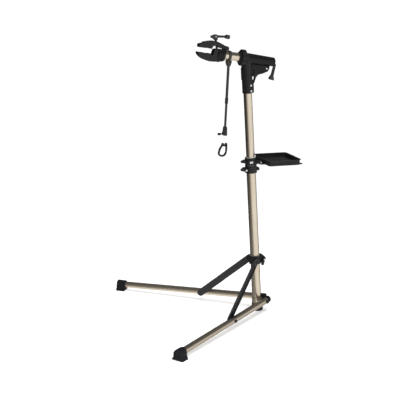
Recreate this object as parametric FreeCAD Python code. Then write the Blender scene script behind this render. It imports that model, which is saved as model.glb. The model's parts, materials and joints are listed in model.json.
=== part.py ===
import FreeCAD, Part
import math
import os

# Folding bipod repair stand. Millimetres and degrees, +Z up.
# The origin is the middle of the mast's foot on the floor; the clamp arm and both legs point towards -X.
# "Mast frame": z runs up the mast. "Arm frame": x runs back along the clamp arm, from the mast.
# "Rod frame": z runs up the handlebar rod, from the arm. "Side frame": x runs out along the -Y leg.

V = FreeCAD.Vector
X, Y, Z = V(1, 0, 0), V(0, 1, 0), V(0, 0, 1)

# clearances
RUNNING = 0.05      # radial, between a shaft and the hole it turns or slides in
CLEAR = 0.5         # between pieces that pass each other

# stance
LEAN = 4.8          # of the mast, towards the legs
SPLAY = 36.5        # of each leg, away from straight ahead
ARM_RISE = 8.0      # of the clamp arm, above level

# lower mast and its foot
LOWER_R = 21.0
LOWER_WALL = 1.2
LOWER_BOTTOM = 7.0
LOWER_TOP = 693.0
FOOT_CAP_R = LOWER_R + 3.5
FOOT_CAP_TOP = 34.0

# base bracket and leg pivots
BRACKET_LOW = 36.0
BRACKET_TOP = 62.0
BRACKET_R = LOWER_R + 1.4
PIVOT_HEIGHT = 48.0
PIVOT_BOLT_R = 5.0
PIVOT_HEAD_R = 9.5
BUSH_WALL = 2.0

# legs
LEG_R = 15.0
LEG_WALL = 1.5
LEG_REACH = 690.0   # pivot to the middle of the foot
LEG_TAIL = 28.0     # behind the pivot
CAP_WALL = 1.4
CAP_START = 11.0    # where the end cap's skirt begins, behind the pivot
FOOT_AXIS_HEIGHT = 27.0
FOOT_WIDTH = 56.0
FOOT_LENGTH = 42.0
FOOT_WALL = 6.0

# struts and the collar that slides on the lower mast
STRUT_THICK = 6.0
STRUT_WIDTH = 32.0
STRUT_ON_LEG = 281.0    # pivot to strut bolt, along the leg
STRUT_BOLT_R = 4.0
COLLAR_LOW = 231.0
COLLAR_TOP = 270.0
COLLAR_WALL = 5.0
LINER_WALL = 2.0
EAR_REACH = LOWER_R + 12.0        # strut pin, out from the mast's middle
EAR_HEIGHT = COLLAR_LOW + 15.0
EAR_THICK = 6.0
EAR_R = 12.0
COLLAR_MIDDLE = COLLAR_LOW + 16.0   # height of the clamp bolt
COLLAR_LUG = LOWER_R + 19.0
COLLAR_LUG_HALF = 11.0
COLLAR_HUB = 9.0
COLLAR_LEVER = 24.0

# mast clamp, at the top of the lower mast
CLAMP_RING_LOW = LOWER_TOP - 30.0
CLAMP_RING_WALL = 5.5
SLOT = 3.0
LUG_REACH = LOWER_R + 10.0
LUG_HALF = 12.0
LUG_R = 9.0
LUG_BOLT_R = 3.0
LEVER_HUB = 7.0         # radius of a hand lever's hub
CLAMP_HUB = 8.0         # length of the hub
CLAMP_LEVER = 20.0
BUSH_FLANGE = 4.0
GUIDE_LENGTH = 60.0

# upper mast
UPPER_R = 19.0
UPPER_WALL = 1.6
HEIGHT_TRAVEL = 340.0
SLIDE_LENGTH = 40.0     # of the bush that slides in the lower mast
STOP_LENGTH = 5.5       # of the rings above and below it

# head: the socket on the upper mast and the barrel that the arm turns in
ELBOW = 1177.0          # along the mast
SOCKET_LOW = ELBOW - 153.0
SOCKET_R = UPPER_R + 4.5
SOCKET_TOP = ELBOW - 45.0   # where the upper tube ends
SOCKET_SCREWS = (SOCKET_LOW + 10, SOCKET_LOW + 35)
PINCH_LENGTH = 56.0
BARREL_FRONT_R = 24.0
BARREL_REAR_R = 19.5
BARREL_FRONT = -10.0
BARREL_REAR = 134.0
BARREL_BORE = 15.0
SHAFT_R = 10.0
BARREL_BUSH = 22.0
GUSSET_HALF = 7.0

# clutch disc and arm tube
DISC_R = 36.0
DISC_THICK = 19.0
DISC_LOBES = 10
LOBE_R = 5.0
ARM_R = 18.5
ARM_WALL = 1.8
ARM_END = -105.0

# clamp jaws
JAW_HALF = 17.0
MOUTH_FLOOR = -0.5
MOUTH_ROOF = 20.0
PAD_THICK = 6.0
MOUTH_FRONT = -229.0
MOUTH_BACK = -170.0
TUBE_R = 12.5           # of the round groove across the pads
TUBE_X = -190.0
JAW_PIVOT = V(-103, 0, ARM_R + 11.5)
JAW_PIN_R = 4.0
EYE_R = 10.5            # of the upper jaw, round the pivot
SWING_R = EYE_R + 2     # room for it in the lower jaw
SPIGOT = 22.0           # of the clamp block's stub inside the arm tube
RIB_COUNT = 3
RIB_WIDTH = 4.0
RIB_STEP = 9.0
LUG_MID = 8.0           # half width of the body's lug between the upper jaw's cheeks
CHANNEL_HALF = 10.0
SCREW_R = 4.5
SCREW_LOW = V(-130, 0, -25)
SCREW_TOP = V(-153.5, 0, 58.5)
NUT_R = 8.0
LEVER_HUB_R = 9.0
LEVER_RISE = 15.5       # of its pin, above the screw's collar
LEVER_LENGTH = 56.0

# rear lever
REAR_PIN = V(132, 0, 0)
REAR_PIN_R = 3.0
REAR_LEVER = 72.0

# handlebar rod that hangs from the arm; depths are below the arm's axis
RING_X = -82.0
RING_WIDTH = 10.0
RING_WALL = 4.0
ROD_LEAN = 1.5
ROD_R = 6.0
INNER_ROD_R = 5.2
ROD_START = 39.0
ROD_STEP = 205.0
ROD_END_TOP = 316.0
ROD_END_LOW = 350.0
ROD_TRAVEL = 90.0
STRAP_TOP = 383.0
STRAP_THICK = 9.0

# tool tray on the upper mast
TRAY_COLLAR_LOW = LOWER_TOP + 7.0
TRAY_COLLAR_TOP = TRAY_COLLAR_LOW + 33.0
TRAY_LINER_WALL = 2.0
TRAY_COLLAR_WALL = 5.0
TRAY_X0 = 0.0
TRAY_X1 = 155.0
TRAY_Y0 = -70.0
TRAY_Y1 = 96.0
TRAY_Z = LOWER_TOP + 5.0
TRAY_DEEP = 26.0
TRAY_SHEET = 1.6
TRAY_LIP = 5.0
TRAY_CORNER = 12.0
BRACKET_SHEET = 3.0
SHELF = 17.0            # of the collar, beyond its ring
KNOB_HEIGHT = TRAY_COLLAR_LOW + 18.0
KNOB_SCREW_R = 3.5
RIVET_R = 4.0

# ---- places worked out from the sizes ----
LINER_OUT = LOWER_R + RUNNING + LINER_WALL
COLLAR_R = LINER_OUT + COLLAR_WALL
STRUT_IN = LOWER_R + CLEAR                  # a strut's inner face, from the mast's middle
STRUT_OUT = STRUT_IN + STRUT_THICK
LEG_SIDE = STRUT_OUT + CLEAR                # the leg tube's inner side
LEG_LINE = LEG_SIDE + LEG_R                 # the leg's axis, from the mast's middle
LOWER_IN = LOWER_R - LOWER_WALL
BUSH_STACK = SLIDE_LENGTH + STOP_LENGTH + CLEAR
UPPER_LOW = LOWER_TOP - GUIDE_LENGTH - 2 * CLEAR - BUSH_STACK - HEIGHT_TRAVEL
CLAMP_RING_TOP = LOWER_TOP + BUSH_FLANGE
CLAMP_RING_R = LOWER_R + CLAMP_RING_WALL
CLAMP_MIDDLE = (CLAMP_RING_LOW + CLAMP_RING_TOP) / 2
DISC_BACK = BARREL_FRONT - CLEAR
DISC_FRONT = DISC_BACK - DISC_THICK
TUBE_Z = (MOUTH_FLOOR + MOUTH_ROOF) / 2
TRAY_LINER_OUT = UPPER_R + RUNNING + TRAY_LINER_WALL
TRAY_COLLAR_IN = TRAY_LINER_OUT + RUNNING
TRAY_COLLAR_R = TRAY_COLLAR_IN + TRAY_COLLAR_WALL

MAST = FreeCAD.Placement(V(), FreeCAD.Rotation(Y, -LEAN))
ELBOW_AT = MAST.multVec(V(0, 0, ELBOW))
ARM = FreeCAD.Placement(ELBOW_AT, FreeCAD.Rotation(Y, ARM_RISE))
SIDE = FreeCAD.Placement(V(), FreeCAD.Rotation(Z, 180 + SPLAY))


def leg_rise():
    """How far each leg climbs in the mast frame, so that its far end is FOOT_AXIS_HEIGHT above the floor."""
    lean, splay = math.radians(LEAN), math.radians(SPLAY)
    up, along = math.cos(lean), math.sin(lean) * math.cos(splay)
    pivot_height = up * PIVOT_HEIGHT + math.sin(lean) * LEG_LINE * math.sin(splay)
    drop = (FOOT_AXIS_HEIGHT - pivot_height) / (LEG_REACH * math.hypot(up, along))
    return math.degrees(math.atan2(along, up) + math.asin(drop))


LEG_RISE = leg_rise()
LEG = FreeCAD.Placement(V(0, LEG_LINE, PIVOT_HEIGHT), FreeCAD.Rotation(Y, -LEG_RISE))


# ---- shapes ----
def cylinder(radius, start, end):
    axis = end - start
    return Part.makeCylinder(radius, axis.Length, start, axis)


def sleeve(outer, inner, start, end):
    return cylinder(outer, start, end).cut(cylinder(inner, start, end))


def ring(outer, inner, low, top):
    return sleeve(outer, inner, V(0, 0, low), V(0, 0, top))


def block(x0, x1, y0, y1, z0, z1):
    return Part.makeBox(x1 - x0, y1 - y0, z1 - z0, V(x0, y0, z0))


def plate(points, y0, y1):
    """An outline of (x, z) points, filled and pushed along Y."""
    corners = [V(x, y0, z) for x, z in points]
    return Part.Face(Part.makePolygon(corners + corners[:1])).extrude(V(0, y1 - y0, 0))


def link(start, end, half, y0, y1):
    """A flat bar with round ends of radius half, between two (x, z) points."""
    along = V(end[0] - start[0], 0, end[1] - start[1])
    side = V(-along.z, 0, along.x).normalize() * half
    a, b = V(start[0], y0, start[1]), V(end[0], y0, end[1])
    beyond = V(along).normalize() * half
    wire = Part.Wire([
        Part.LineSegment(a + side, b + side).toShape(),
        Part.Arc(b + side, b + beyond, b - side).toShape(),
        Part.LineSegment(b - side, a - side).toShape(),
        Part.Arc(a - side, a - beyond, a + side).toShape(),
    ])
    return Part.Face(wire).extrude(V(0, y1 - y0, 0))


def hexagon(across, start, end):
    """A hex bolt head or nut, across its flats."""
    axis = end - start
    turn = FreeCAD.Rotation(Z, axis)
    corner = across / math.sqrt(3)
    points = [V(corner * math.cos(k * math.pi / 3), corner * math.sin(k * math.pi / 3), 0) for k in range(7)]
    face = Part.Face(Part.makePolygon([start + turn.multVec(p) for p in points]))
    return face.extrude(axis)


def straight(edge, axis):
    return isinstance(edge.Curve, Part.Line) and abs(edge.Curve.Direction.dot(axis)) > 0.999


def soften(shape, radius, axis):
    """Rounds the straight edges that run along axis."""
    return shape.makeFillet(radius, [e for e in shape.Edges if straight(e, axis)])


def rim(shape, radius, test):
    """Rounds the edges whose middle passes the test."""
    return shape.makeFillet(radius, [e for e in shape.Edges if test(e.CenterOfMass)])


def placed(shape, *places):
    for place in places:
        shape = shape.copy()
        shape.Placement = place.multiply(shape.Placement)
    return shape


def other_side(shape):
    return shape.mirror(V(), Y)


def both_sides(shape):
    return shape.fuse(other_side(shape))


# ---- lower mast, fixed to the floor ----
def lower_tube():
    return placed(ring(LOWER_R, LOWER_IN, LOWER_BOTTOM, LOWER_TOP), MAST)


def mast_foot_cap():
    boot = Part.makeCone(FOOT_CAP_R + 3, FOOT_CAP_R, 14, V(0, 0, 0))
    boot = boot.fuse(cylinder(FOOT_CAP_R + 3, V(0, 0, -8), V(0, 0, 0)))
    boot = boot.fuse(cylinder(FOOT_CAP_R, V(0, 0, 13.9), V(0, 0, FOOT_CAP_TOP))).removeSplitter()
    boot = rim(boot, 2.0, lambda c: c.z > FOOT_CAP_TOP - 0.1)
    boot = boot.cut(cylinder(LOWER_R, V(0, 0, LOWER_BOTTOM), V(0, 0, FOOT_CAP_TOP + 1)))
    return placed(boot, MAST).cut(block(-60, 60, -60, 60, -30, 0))


def base_bracket():
    """Two cheeks on a thin sleeve, which carry the legs' pivot bolts."""
    body = cylinder(BRACKET_R, V(0, 0, BRACKET_LOW), V(0, 0, BRACKET_TOP))
    cheek = block(-13, 18, 6, LEG_SIDE - CAP_WALL - CLEAR, BRACKET_LOW, PIVOT_HEIGHT + 13)
    cheek = placed(soften(cheek, 8.0, Y), SIDE)
    body = body.fuse(both_sides(cheek)).removeSplitter()
    body = body.cut(cylinder(LOWER_R, V(0, 0, 0), V(0, 0, BRACKET_TOP + 1)))
    hole = placed(cylinder(PIVOT_BOLT_R, V(0, 10, PIVOT_HEIGHT), V(0, 40, PIVOT_HEIGHT)), SIDE)
    return placed(body.cut(both_sides(hole)), MAST)


def leg_pivot_bolts():
    side = LEG_LINE + LEG_R + CLEAR
    head = cylinder(PIVOT_HEAD_R, V(0, side, PIVOT_HEIGHT), V(0, side + 5, PIVOT_HEIGHT))
    head = rim(head, 2.5, lambda c: c.y > side + 4.9)
    head = head.cut(hexagon(6.0, V(0, side + 2, PIVOT_HEIGHT), V(0, side + 6, PIVOT_HEIGHT)))
    shank = cylinder(PIVOT_BOLT_R, V(0, STRUT_IN, PIVOT_HEIGHT), V(0, side, PIVOT_HEIGHT))
    return placed(both_sides(placed(head.fuse(shank), SIDE)), MAST)


def mast_clamp():
    low, top = CLAMP_RING_LOW, CLAMP_RING_TOP
    body = cylinder(CLAMP_RING_R, V(0, 0, low), V(0, 0, top))
    middle = (low + top) / 2
    lug = block(-LUG_REACH - LUG_R, -15, -LUG_HALF, LUG_HALF, middle - LUG_R, middle + LUG_R)
    boss = block(LOWER_R - 6, LOWER_R + 17, -9, 9, middle - 10, middle + 4)
    body = body.fuse(soften(lug, LUG_R - 2, Y)).fuse(soften(boss, 4.0, Y)).removeSplitter()
    body = body.cut(cylinder(LOWER_R, V(0, 0, low - 1), V(0, 0, top + 1)))
    body = body.cut(block(-LUG_REACH - LUG_R - 1, -15, -SLOT / 2, SLOT / 2, low - 1, top + 1))
    bolt = cylinder(LUG_BOLT_R, V(-LUG_REACH, -20, middle), V(-LUG_REACH, 20, middle))
    return placed(body.cut(bolt), MAST)


def lug_bolt(reach, middle, half, hub):
    """A clamp bolt along Y: nut on the far lug, shank through a lever's hub, dished washer at its end."""
    end = -half - CLEAR - hub
    shank = cylinder(LUG_BOLT_R, V(reach, end - 2, middle), V(reach, half + 6, middle))
    nut = hexagon(11.0, V(reach, half, middle), V(reach, half + 5, middle))
    cap = cylinder(5.5, V(reach, end - CLEAR - 3, middle), V(reach, end - CLEAR, middle))
    return shank.fuse(nut).fuse(rim(cap, 1.5, lambda c: c.y < end - CLEAR - 2.9))


def lug_lever(reach, middle, half, hub, length, angle):
    """A hand lever on a clamp bolt: round hub and a tapering arm that swings outside the ring."""
    near, far = -half - CLEAR, -half - CLEAR - hub
    tip_x = reach + length * math.cos(math.radians(angle))
    tip_z = middle + length * math.sin(math.radians(angle))
    arm = link((reach, middle), (tip_x, tip_z), 5.0, far, far + 6.5)
    pad = link((reach + 0.72 * (tip_x - reach), middle + 0.72 * (tip_z - middle)),
               (tip_x, tip_z), 6.5, far, far + 6.5)
    body = cylinder(LEVER_HUB, V(reach, far, middle), V(reach, near, middle)).fuse(arm).fuse(pad)
    bore = cylinder(LUG_BOLT_R + RUNNING, V(reach, far - 1, middle), V(reach, near + 1, middle))
    return body.removeSplitter().cut(bore)


def mast_clamp_bolt():
    return placed(lug_bolt(-LUG_REACH, CLAMP_MIDDLE, LUG_HALF, CLAMP_HUB), MAST)


def mast_clamp_lever():
    return placed(lug_lever(-LUG_REACH, CLAMP_MIDDLE, LUG_HALF, CLAMP_HUB, CLAMP_LEVER, 165), MAST)


def guide_bush():
    inner = UPPER_R + RUNNING
    body = ring(LOWER_IN, inner, LOWER_TOP - GUIDE_LENGTH, LOWER_TOP)
    return placed(body.fuse(ring(LOWER_R, inner, LOWER_TOP, CLAMP_RING_TOP)).removeSplitter(), MAST)


# ---- legs: built for the -Y side and mirrored ----
def leg_place(shape):
    return placed(shape, LEG, SIDE, MAST)


def leg_tube():
    body = sleeve(LEG_R, LEG_R - LEG_WALL, V(-LEG_TAIL, 0, 0), V(LEG_REACH + 6, 0, 0))
    body = body.cut(cylinder(PIVOT_BOLT_R + RUNNING + BUSH_WALL, V(0, -30, 0), V(0, 30, 0)))
    return leg_place(body.cut(cylinder(STRUT_BOLT_R, V(STRUT_ON_LEG, -30, 0), V(STRUT_ON_LEG, 30, 0))))


def leg_bush():
    bore = PIVOT_BOLT_R + RUNNING
    return leg_place(sleeve(bore + BUSH_WALL, bore, V(0, -LEG_R, 0), V(0, LEG_R, 0)))


def leg_end_cap():
    """A push-on cap: a skirt round the tube's back end, and a domed end."""
    outer = LEG_R + CAP_WALL
    end = -LEG_TAIL - CAP_WALL - 7
    body = rim(cylinder(outer, V(end, 0, 0), V(-CAP_START, 0, 0)), 7.0, lambda c: c.x < end + 0.1)
    return leg_place(body.cut(cylinder(LEG_R, V(-LEG_TAIL, 0, 0), V(0, 0, 0))))


def foot_directions():
    """The foot's middle on the leg's axis, and the level direction outward along the leg."""
    middle = leg_place(Part.Vertex(V(LEG_REACH, 0, 0))).Point
    pivot = leg_place(Part.Vertex(V(0, 0, 0))).Point
    return middle, V(middle.x - pivot.x, middle.y - pivot.y, 0).normalize()


def leg_foot():
    """An arched rubber block on a flared sole, square to the floor, with a blind bore for the leg tube."""
    middle, along = foot_directions()
    arch = LEG_R + FOOT_WALL
    half = FOOT_LENGTH / 2
    arched = cylinder(arch, V(-half, 0, middle.z), V(half, 0, middle.z))
    waist = block(-half, half, -arch, arch, 0, middle.z)
    wide = FOOT_WIDTH / 2
    sole = [(-wide, 0), (wide, 0), (wide - 1, 5), (arch, 12), (-arch, 12), (1 - wide, 5), (-wide, 0)]
    sole = Part.makePolygon([V(-half, y, z) for y, z in sole])
    body = arched.fuse(waist).fuse(Part.Face(sole).extrude(V(FOOT_LENGTH, 0, 0))).removeSplitter()
    turn = FreeCAD.Placement(V(middle.x, middle.y, 0), FreeCAD.Rotation(X, along))
    body = placed(body, turn)
    return body.cut(leg_place(cylinder(LEG_R, V(0, 0, 0), V(LEG_REACH + 6, 0, 0))))


def strut_leg_bolt():
    """Holds a strut on its leg: countersunk in the strut's face, with a domed nut outside the leg."""
    inside, outside = STRUT_IN - LEG_LINE, LEG_R
    body = cylinder(STRUT_BOLT_R, V(STRUT_ON_LEG, inside, 0), V(STRUT_ON_LEG, outside, 0))
    nut = cylinder(7.5, V(STRUT_ON_LEG, outside, 0), V(STRUT_ON_LEG, outside + 4.5, 0))
    return leg_place(body.fuse(rim(nut, 2.0, lambda c: c.y > outside + 4.4)))


def strut_ends():
    """A strut's leg end and collar end, as (x, z) in the plane of its leg, in the mast frame."""
    rise = math.radians(LEG_RISE)
    leg_end = (STRUT_ON_LEG * math.cos(rise), PIVOT_HEIGHT + STRUT_ON_LEG * math.sin(rise))
    return leg_end, (EAR_REACH, EAR_HEIGHT)


def strut():
    leg_end, ear = strut_ends()
    body = link(leg_end, ear, STRUT_WIDTH / 2, STRUT_IN, STRUT_OUT)
    rib = link(leg_end, ear, STRUT_WIDTH / 2 - 4, STRUT_OUT - 3, STRUT_OUT + 1)
    ends = [cylinder(STRUT_WIDTH / 2 + 4, V(x, 0, z), V(x, 40, z)) for x, z in (leg_end, ear)]
    body = body.cut(rib.cut(ends[0]).cut(ends[1]))
    x, z = leg_end
    body = body.cut(cylinder(STRUT_BOLT_R + RUNNING, V(x, 10, z), V(x, 40, z)))
    return placed(body, SIDE, MAST)


def strut_pin():
    """A domed rivet in the strut's collar end."""
    x, z = strut_ends()[1]
    head = cylinder(7.0, V(x, STRUT_OUT, z), V(x, STRUT_OUT + 3, z))
    return placed(rim(head, 1.8, lambda c: c.y > STRUT_OUT + 2.9), SIDE, MAST)


# ---- collar that slides on the lower mast ----
def collar_liner():
    return placed(ring(LINER_OUT, LOWER_R + RUNNING, COLLAR_LOW, COLLAR_TOP), MAST)


def strut_collar():
    body = cylinder(COLLAR_R, V(0, 0, COLLAR_LOW), V(0, 0, COLLAR_TOP))
    face = STRUT_IN - CLEAR
    ear = link((EAR_REACH, EAR_HEIGHT), (4, EAR_HEIGHT + 6), EAR_R, face - EAR_THICK, face)
    body = body.fuse(both_sides(placed(ear, SIDE)))
    root = LOWER_R + 3
    lug = plate([(root, COLLAR_LOW), (root + 9, COLLAR_LOW - 4), (COLLAR_LUG + 10, COLLAR_MIDDLE - 8),
                 (COLLAR_LUG + 11, COLLAR_MIDDLE + 5), (root + 11, COLLAR_TOP - 1), (root, COLLAR_TOP - 1)],
                -COLLAR_LUG_HALF, COLLAR_LUG_HALF)
    body = body.fuse(soften(lug, 2.0, Y)).removeSplitter()
    swept = EAR_REACH - STRUT_WIDTH / 2 - 2 * CLEAR
    shaved = placed(block(swept, 80, face, 60, COLLAR_LOW - 9, COLLAR_TOP + 1), SIDE)
    body = body.cut(both_sides(shaved))
    body = body.cut(cylinder(LINER_OUT, V(0, 0, COLLAR_LOW - 1), V(0, 0, COLLAR_TOP + 1)))
    body = body.cut(block(14, COLLAR_LUG + 11, -SLOT / 2, SLOT / 2, COLLAR_LOW - 20, COLLAR_TOP + 1))
    bolt = cylinder(LUG_BOLT_R, V(COLLAR_LUG, -20, COLLAR_MIDDLE), V(COLLAR_LUG, 20, COLLAR_MIDDLE))
    return placed(body.cut(bolt), MAST)


def collar_bolt():
    return placed(lug_bolt(COLLAR_LUG, COLLAR_MIDDLE, COLLAR_LUG_HALF, COLLAR_HUB), MAST)


def collar_lever():
    return placed(lug_lever(COLLAR_LUG, COLLAR_MIDDLE, COLLAR_LUG_HALF, COLLAR_HUB, COLLAR_LEVER, -115), MAST)


# ---- upper mast and head ----
def slide_bush():
    return placed(ring(LOWER_IN - RUNNING, UPPER_R + RUNNING, UPPER_LOW, UPPER_LOW + SLIDE_LENGTH), MAST)


def upper_tube():
    return placed(ring(UPPER_R, UPPER_R - UPPER_WALL, UPPER_LOW, SOCKET_TOP), MAST)


def upper_tube_stops():
    """Rings on the tube above and below the slide bush, which carry it up and down."""
    inner = UPPER_R - UPPER_WALL
    below = UPPER_LOW - CLEAR - STOP_LENGTH
    upper = ring(LOWER_IN - CLEAR, UPPER_R, UPPER_LOW + SLIDE_LENGTH + CLEAR, UPPER_LOW + BUSH_STACK)
    lower = ring(LOWER_IN - CLEAR, inner, below, UPPER_LOW - CLEAR)
    plug = ring(inner, inner - 2, below, UPPER_LOW + 12)
    return placed(upper.fuse(lower).fuse(plug).removeSplitter(), MAST)


def gusset():
    """The web between barrel and socket, in the arm frame: a pocket each side and a window by the socket."""
    web = plate([(-4, -10), (114, -12), (115, -30), (110, -44), (86, -57), (69, -63), (61, -71), (57, -84),
                 (55, -101), (46, -106), (20, -118), (4, -118)], -GUSSET_HALF, GUSSET_HALF)
    window = soften(plate([(36, -73), (53, -76), (51, -99), (38, -101)], -20, 20), 2.0, Y)
    pocket = soften(plate([(30, -42), (48, -46), (50, -66), (36, -69)], GUSSET_HALF - 4, 20), 2.5, Y)
    band = plate([(50, -27), (103, -25), (104, -40), (84, -50), (56, -57)], GUSSET_HALF - 1, 20)
    return web.cut(window).cut(both_sides(pocket)).cut(both_sides(soften(band, 2.5, Y)))


def head_casting():
    length = BARREL_REAR - BARREL_FRONT
    barrel = Part.makeCone(BARREL_FRONT_R, BARREL_REAR_R, length, V(BARREL_FRONT, 0, 0), X)
    barrel = rim(barrel, 4.0, lambda c: c.x > BARREL_REAR - 0.1)
    rib = soften(block(8, 112, -11, 11, -30, -20), 3.0, X)
    socket = cylinder(SOCKET_R, V(0, 0, SOCKET_LOW), V(0, 0, ELBOW - 8))
    socket = rim(socket, 1.5, lambda c: c.z < SOCKET_LOW + 0.1)
    seam = block(-SOCKET_R - 3, -SOCKET_R + 6, -4, 4, SOCKET_LOW + 60, ELBOW - 40)
    pinch = block(10, SOCKET_R + 5, -7, 7, SOCKET_LOW, SOCKET_LOW + PINCH_LENGTH)
    split = block(15, SOCKET_R + 6, -1, 1, SOCKET_LOW - 1, SOCKET_LOW + PINCH_LENGTH - 6)
    pinch = soften(pinch, 2.0, Z).cut(split)
    body = placed(socket.fuse(seam).fuse(pinch), MAST).fuse(placed(barrel.fuse(rib).fuse(gusset()), ARM))
    body = body.removeSplitter()
    disc_room = cylinder(DISC_R + 2 * CLEAR, V(BARREL_FRONT - 60, 0, 0), V(BARREL_FRONT, 0, 0))
    body = body.cut(placed(disc_room, ARM))
    body = body.cut(placed(cylinder(UPPER_R, V(0, 0, SOCKET_LOW - 1), V(0, 0, SOCKET_TOP)), MAST))
    bore = cylinder(BARREL_BORE, V(BARREL_FRONT - 1, 0, 0), V(BARREL_REAR + 1, 0, 0))
    body = body.cut(placed(bore, ARM))
    body = body.cut(placed(gusset_screw(), ARM))
    for height in SOCKET_SCREWS:
        body = body.cut(placed(socket_screw(height), MAST))
    return body


def socket_screw(height):
    """A button-head screw through the socket's near wall."""
    side = FreeCAD.Placement(V(0, 0, height), FreeCAD.Rotation(Z, 20))
    head = cylinder(5.0, V(0, -SOCKET_R - 1.5, 0), V(0, -SOCKET_R + 1.5, 0))
    shank = cylinder(2.5, V(0, -SOCKET_R, 0), V(0, -UPPER_R, 0))
    return placed(head.fuse(shank), side)


def gusset_screw():
    """A small round-head screw in the gusset, below the barrel."""
    at = V(102, -GUSSET_HALF, -32)
    return cylinder(4.0, at - Y * 1.5, at + Y).fuse(cylinder(2.0, at, at + Y * 6))


def head_screws():
    first, second = [socket_screw(h) for h in SOCKET_SCREWS]
    return placed(first.fuse(second), MAST).fuse(placed(gusset_screw(), ARM))


def barrel_bushes():
    """Plain bearings pressed into both ends of the barrel."""
    bore = SHAFT_R + RUNNING
    front = sleeve(BARREL_BORE, bore, V(BARREL_FRONT, 0, 0), V(BARREL_FRONT + BARREL_BUSH, 0, 0))
    rear = sleeve(BARREL_BORE, bore, V(BARREL_REAR - BARREL_BUSH - 22, 0, 0), V(BARREL_REAR - 22, 0, 0))
    return placed(front.fuse(rear), ARM)


# ---- the arm, which turns in the barrel ----
def clutch_disc():
    body = cylinder(DISC_R, V(DISC_FRONT, 0, 0), V(DISC_BACK, 0, 0))
    body = rim(body, 5.0, lambda c: c.x < DISC_FRONT + 0.1)
    for k in range(DISC_LOBES):
        angle = 2 * math.pi * (k + 0.5) / DISC_LOBES
        at = V(0, (DISC_R + 2.2) * math.cos(angle), (DISC_R + 2.2) * math.sin(angle))
        body = body.cut(cylinder(LOBE_R, V(DISC_FRONT - 1, 0, 0) + at, V(DISC_BACK - 4, 0, 0) + at))
    hub = cylinder(ARM_R + 5, V(DISC_FRONT - 9, 0, 0), V(DISC_FRONT + 1, 0, 0))
    body = body.fuse(rim(hub, 2.0, lambda c: c.x < DISC_FRONT - 8.9)).removeSplitter()
    body = body.cut(cylinder(ARM_R, V(DISC_FRONT - 10, 0, 0), V(DISC_BACK - 5, 0, 0)))
    return placed(body.cut(cylinder(SHAFT_R, V(DISC_BACK - 6, 0, 0), V(DISC_BACK + 1, 0, 0))), ARM)


def arm_tube():
    body = sleeve(ARM_R, ARM_R - ARM_WALL, V(ARM_END, 0, 0), V(DISC_BACK - 5, 0, 0))
    return placed(body, ARM)


def draw_shaft():
    """Runs from the disc to the back of the barrel, where it is forked for the lever's pin."""
    head = cylinder(ARM_R - ARM_WALL, V(DISC_BACK - 13, 0, 0), V(DISC_BACK - 5, 0, 0))
    shaft = cylinder(SHAFT_R, V(DISC_BACK - 5, 0, 0), V(REAR_PIN.x + 6, 0, 0))
    body = head.fuse(shaft).removeSplitter()
    fork = block(REAR_PIN.x - 9, REAR_PIN.x + 7, -3.5 - RUNNING, 3.5 + RUNNING, -20, 20)
    pin = cylinder(REAR_PIN_R, V(REAR_PIN.x, -20, 0), V(REAR_PIN.x, 20, 0))
    return placed(body.cut(fork).cut(pin), ARM)


def rear_pin():
    return placed(cylinder(REAR_PIN_R, V(REAR_PIN.x, -9, 0), V(REAR_PIN.x, 9, 0)), ARM)


def rear_lever():
    """A cam lever that hangs behind the barrel, with a flared finger end."""
    x = REAR_PIN.x
    body = cylinder(7.0, V(x, -3.5, 0), V(x, 3.5, 0))
    neck = link((x, 0), (x + 9, -10), 3.5, -3.5, 3.5)
    arm = plate([(x + 4, -10), (x + 13, -8), (x + 9, -REAR_LEVER), (x - 3, -REAR_LEVER)], -5, 5)
    end = plate([(x - 3, -REAR_LEVER + 12), (x + 9, -REAR_LEVER + 12), (x + 14, -REAR_LEVER - 4),
                 (x + 13, -REAR_LEVER - 8), (x - 7, -REAR_LEVER - 6), (x - 8, -REAR_LEVER)], -8, 8)
    body = body.fuse(neck).fuse(soften(arm, 2.0, Y)).fuse(soften(end, 2.0, Y)).removeSplitter()
    return placed(body.cut(cylinder(REAR_PIN_R + RUNNING, V(x, -9, 0), V(x, 9, 0))), ARM)


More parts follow.
